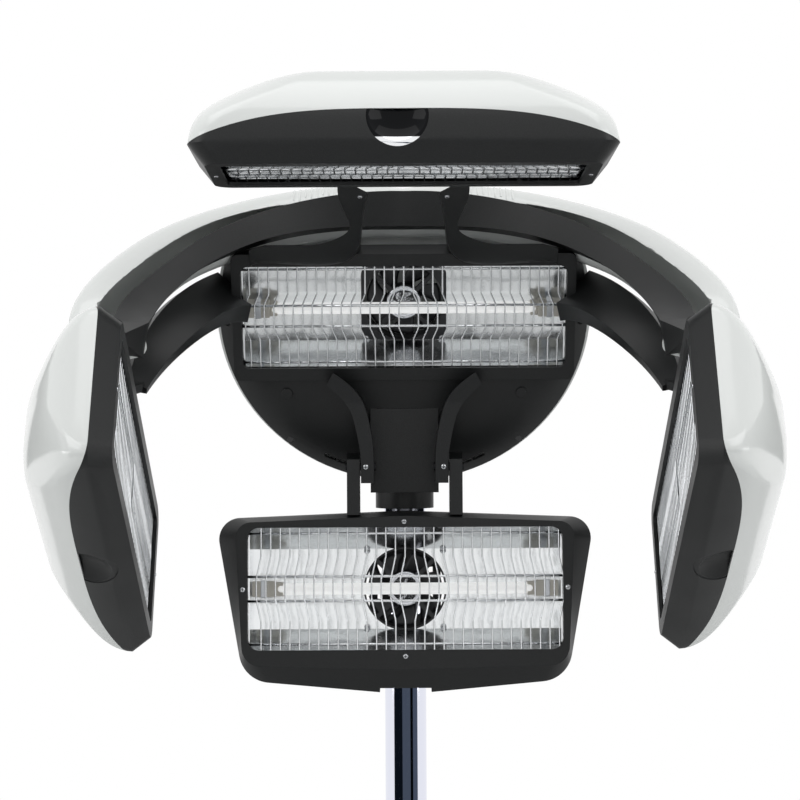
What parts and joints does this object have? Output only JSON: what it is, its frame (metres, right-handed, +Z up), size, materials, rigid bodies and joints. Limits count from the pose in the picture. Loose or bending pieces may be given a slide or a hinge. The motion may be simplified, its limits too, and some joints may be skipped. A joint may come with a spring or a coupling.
{
  "type": "hair color processor",
  "caption": "Salon infrared hair color processor: lamp units round the client's head on a horseshoe arch, on a height-adjustable rolling stand.",
  "frame": {"origin": "on the floor under the column's axis", "axes": "+Z up, +X to the viewer's right when facing the lamps, +Y away from the client"},
  "size_m": [0.659, 0.7582, 1.5704],
  "materials": {
    "black_plastic": "fine moulded grain",
    "white_gloss_plastic": "glossy",
    "chromed_wire": "bright",
    "bright_aluminium": "bright rolled",
    "quartz_tube": "clear",
    "chromed_plastic": "bright",
    "chromed_tube": "polished",
    "painted_steel": "satin powder coat",
    "steel": "turned",
    "zinc_plated_steel": "zinc plated",
    "display_window": "dark tinted",
    "button_rubber": "soft",
    "wheel_rubber": "satin"
  },
  "bodies": {
    "base": {"base_star": "painted_steel", "column_tube": "painted_steel", "clamp_collar": "painted_steel"},
    "knob": {"clamp_knob": "black_plastic"},
    "mast": {"mast_tube": "chromed_tube"},
    "carrier": {"swivel_head": "black_plastic"},
    "head": {"front_frame": "black_plastic", "rear_shell": "white_gloss_plastic", "head_screws": "steel", "chassis_plate": "zinc_plated_steel", "control_panel": "black_plastic", "display_window": "display_window", "power_inlet": "black_plastic", "top_arms": "black_plastic", "nape_arms": "black_plastic", "lamp_hinge_pins": "steel", "tilt_axle": "steel", "center_grille": "chromed_wire", "center_reflector": "bright_aluminium", "center_lamp": "quartz_tube"},
    "start_button": {"start_button": "button_rubber"},
    "plus_button": {"plus_button": "button_rubber"},
    "minus_button": {"minus_button": "button_rubber"},
    "power_switch": {"power_switch": "black_plastic"},
    "top_unit": {"top_housing": "black_plastic", "top_shell": "white_gloss_plastic", "top_grille": "chromed_wire", "top_reflector": "bright_aluminium", "top_lamp": "quartz_tube", "top_grip": "chromed_plastic"},
    "nape_unit": {"nape_housing": "black_plastic", "nape_back": "black_plastic", "nape_grille": "chromed_wire", "nape_reflector": "bright_aluminium", "nape_lamp": "quartz_tube"},
    "left_unit": {"left_housing": "black_plastic", "left_shell": "white_gloss_plastic", "left_grille": "chromed_wire", "left_reflector": "bright_aluminium", "left_lamp": "quartz_tube"},
    "right_unit": {"right_housing": "black_plastic", "right_shell": "white_gloss_plastic", "right_grille": "chromed_wire", "right_reflector": "bright_aluminium", "right_lamp": "quartz_tube"},
    "center_fan": {"center_fan": "black_plastic"},
    "top_fan": {"top_fan": "black_plastic"},
    "nape_fan": {"nape_fan": "black_plastic"},
    "left_fan": {"left_fan": "black_plastic"},
    "right_fan": {"right_fan": "black_plastic"},
    "caster_fork_1": {"caster_fork_1": "black_plastic"},
    "caster_wheels_1": {"caster_wheels_1": "wheel_rubber"},
    "caster_fork_2": {"caster_fork_2": "black_plastic"},
    "caster_wheels_2": {"caster_wheels_2": "wheel_rubber"},
    "caster_fork_3": {"caster_fork_3": "black_plastic"},
    "caster_wheels_3": {"caster_wheels_3": "wheel_rubber"},
    "caster_fork_4": {"caster_fork_4": "black_plastic"},
    "caster_wheels_4": {"caster_wheels_4": "wheel_rubber"},
    "caster_fork_5": {"caster_fork_5": "black_plastic"},
    "caster_wheels_5": {"caster_wheels_5": "wheel_rubber"}
  },
  "joints": [
    {"name": "mast_slide", "type": "slide", "parent": "base", "child": "mast", "axis": [0, 0, 1], "range_m": [-0.2, 0.15]},
    {"name": "clamp_knob_turn", "type": "hinge", "parent": "base", "child": "knob", "pos_m": [0, 0, 0.804], "axis": [1, 0, 0], "range_deg": [-180, 180]},
    {"name": "head_swivel", "type": "hinge", "parent": "mast", "child": "carrier", "pos_m": [0, 0, 1.2], "axis": [0, 0, 1], "range_deg": [-120, 120]},
    {"name": "head_tilt", "type": "hinge", "parent": "carrier", "child": "head", "pos_m": [0, 0, 1.285], "axis": [1, 0, 0], "range_deg": [-10, 3.5]},
    {"name": "top_lamp_tilt", "type": "hinge", "parent": "head", "child": "top_unit", "pos_m": [0, -0.22349, 1.49464], "axis": [-1, 0, 0], "range_deg": [-8, 30]},
    {"name": "nape_lamp_tilt", "type": "hinge", "parent": "head", "child": "nape_unit", "pos_m": [0, -0.082, 1.238], "axis": [-1, 0, 0], "range_deg": [-2, 15]},
    {"name": "left_lamp_swing", "type": "hinge", "parent": "head", "child": "left_unit", "pos_m": [-0.237, -0.24602, 1.29739], "axis": [0, 0.848, -0.5299], "range_deg": [0, 25]},
    {"name": "right_lamp_swing", "type": "hinge", "parent": "head", "child": "right_unit", "pos_m": [0.237, -0.24602, 1.29739], "axis": [0, -0.848, 0.5299], "range_deg": [0, 25]},
    {"name": "center_fan_spin", "type": "hinge", "parent": "head", "child": "center_fan", "pos_m": [0, -0.1, 1.376], "axis": [0, 0.9272, 0.3746], "continuous": true},
    {"name": "top_fan_spin", "type": "hinge", "parent": "top_unit", "child": "top_fan", "pos_m": [0, -0.307, 1.487], "axis": [0, 0.0523, 0.9986], "continuous": true},
    {"name": "nape_fan_spin", "type": "hinge", "parent": "nape_unit", "child": "nape_fan", "pos_m": [0, -0.1, 1.126], "axis": [0, 0.9962, -0.0872], "continuous": true},
    {"name": "left_fan_spin", "type": "hinge", "parent": "left_unit", "child": "left_fan", "pos_m": [-0.225, -0.29, 1.227], "axis": [-1, 0, 0], "continuous": true},
    {"name": "right_fan_spin", "type": "hinge", "parent": "right_unit", "child": "right_fan", "pos_m": [0.225, -0.29, 1.227], "axis": [1, 0, 0], "continuous": true},
    {"name": "start_button_press", "type": "slide", "parent": "head", "child": "start_button", "axis": [0, -0.9272, -0.3746], "range_m": [0, 0.0015], "stiffness_N_per_m": 600},
    {"name": "plus_button_press", "type": "slide", "parent": "head", "child": "plus_button", "axis": [0, -0.9272, -0.3746], "range_m": [0, 0.0015], "stiffness_N_per_m": 600},
    {"name": "minus_button_press", "type": "slide", "parent": "head", "child": "minus_button", "axis": [0, -0.9272, -0.3746], "range_m": [0, 0.0015], "stiffness_N_per_m": 600},
    {"name": "power_switch_rock", "type": "hinge", "parent": "head", "child": "power_switch", "pos_m": [0.0485, -0.00565, 1.4198], "axis": [1, 0, 0], "range_deg": [-8, 8]},
    {"name": "caster_swivel_1", "type": "hinge", "parent": "base", "child": "caster_fork_1", "pos_m": [0, -0.29, 0.064], "axis": [0, 0, 1], "continuous": true},
    {"name": "caster_roll_1", "type": "hinge", "parent": "caster_fork_1", "child": "caster_wheels_1", "pos_m": [0, -0.308, 0.027], "axis": [1, 0, 0], "continuous": true},
    {"name": "caster_swivel_2", "type": "hinge", "parent": "base", "child": "caster_fork_2", "pos_m": [0.27581, -0.08962, 0.064], "axis": [0, 0, 1], "continuous": true},
    {"name": "caster_roll_2", "type": "hinge", "parent": "caster_fork_2", "child": "caster_wheels_2", "pos_m": [0.29292, -0.09518, 0.027], "axis": [0.309, 0.9511, 0], "continuous": true},
    {"name": "caster_swivel_3", "type": "hinge", "parent": "base", "child": "caster_fork_3", "pos_m": [0.17046, 0.23461, 0.064], "axis": [0, 0, 1], "continuous": true},
    {"name": "caster_roll_3", "type": "hinge", "parent": "caster_fork_3", "child": "caster_wheels_3", "pos_m": [0.18104, 0.24918, 0.027], "axis": [-0.809, 0.5878, 0], "continuous": true},
    {"name": "caster_swivel_4", "type": "hinge", "parent": "base", "child": "caster_fork_4", "pos_m": [-0.17046, 0.23461, 0.064], "axis": [0, 0, 1], "continuous": true},
    {"name": "caster_roll_4", "type": "hinge", "parent": "caster_fork_4", "child": "caster_wheels_4", "pos_m": [-0.18104, 0.24918, 0.027], "axis": [-0.809, -0.5878, 0], "continuous": true},
    {"name": "caster_swivel_5", "type": "hinge", "parent": "base", "child": "caster_fork_5", "pos_m": [-0.27581, -0.08962, 0.064], "axis": [0, 0, 1], "continuous": true},
    {"name": "caster_roll_5", "type": "hinge", "parent": "caster_fork_5", "child": "caster_wheels_5", "pos_m": [-0.29292, -0.09518, 0.027], "axis": [0.309, -0.9511, 0], "continuous": true}
  ]
}
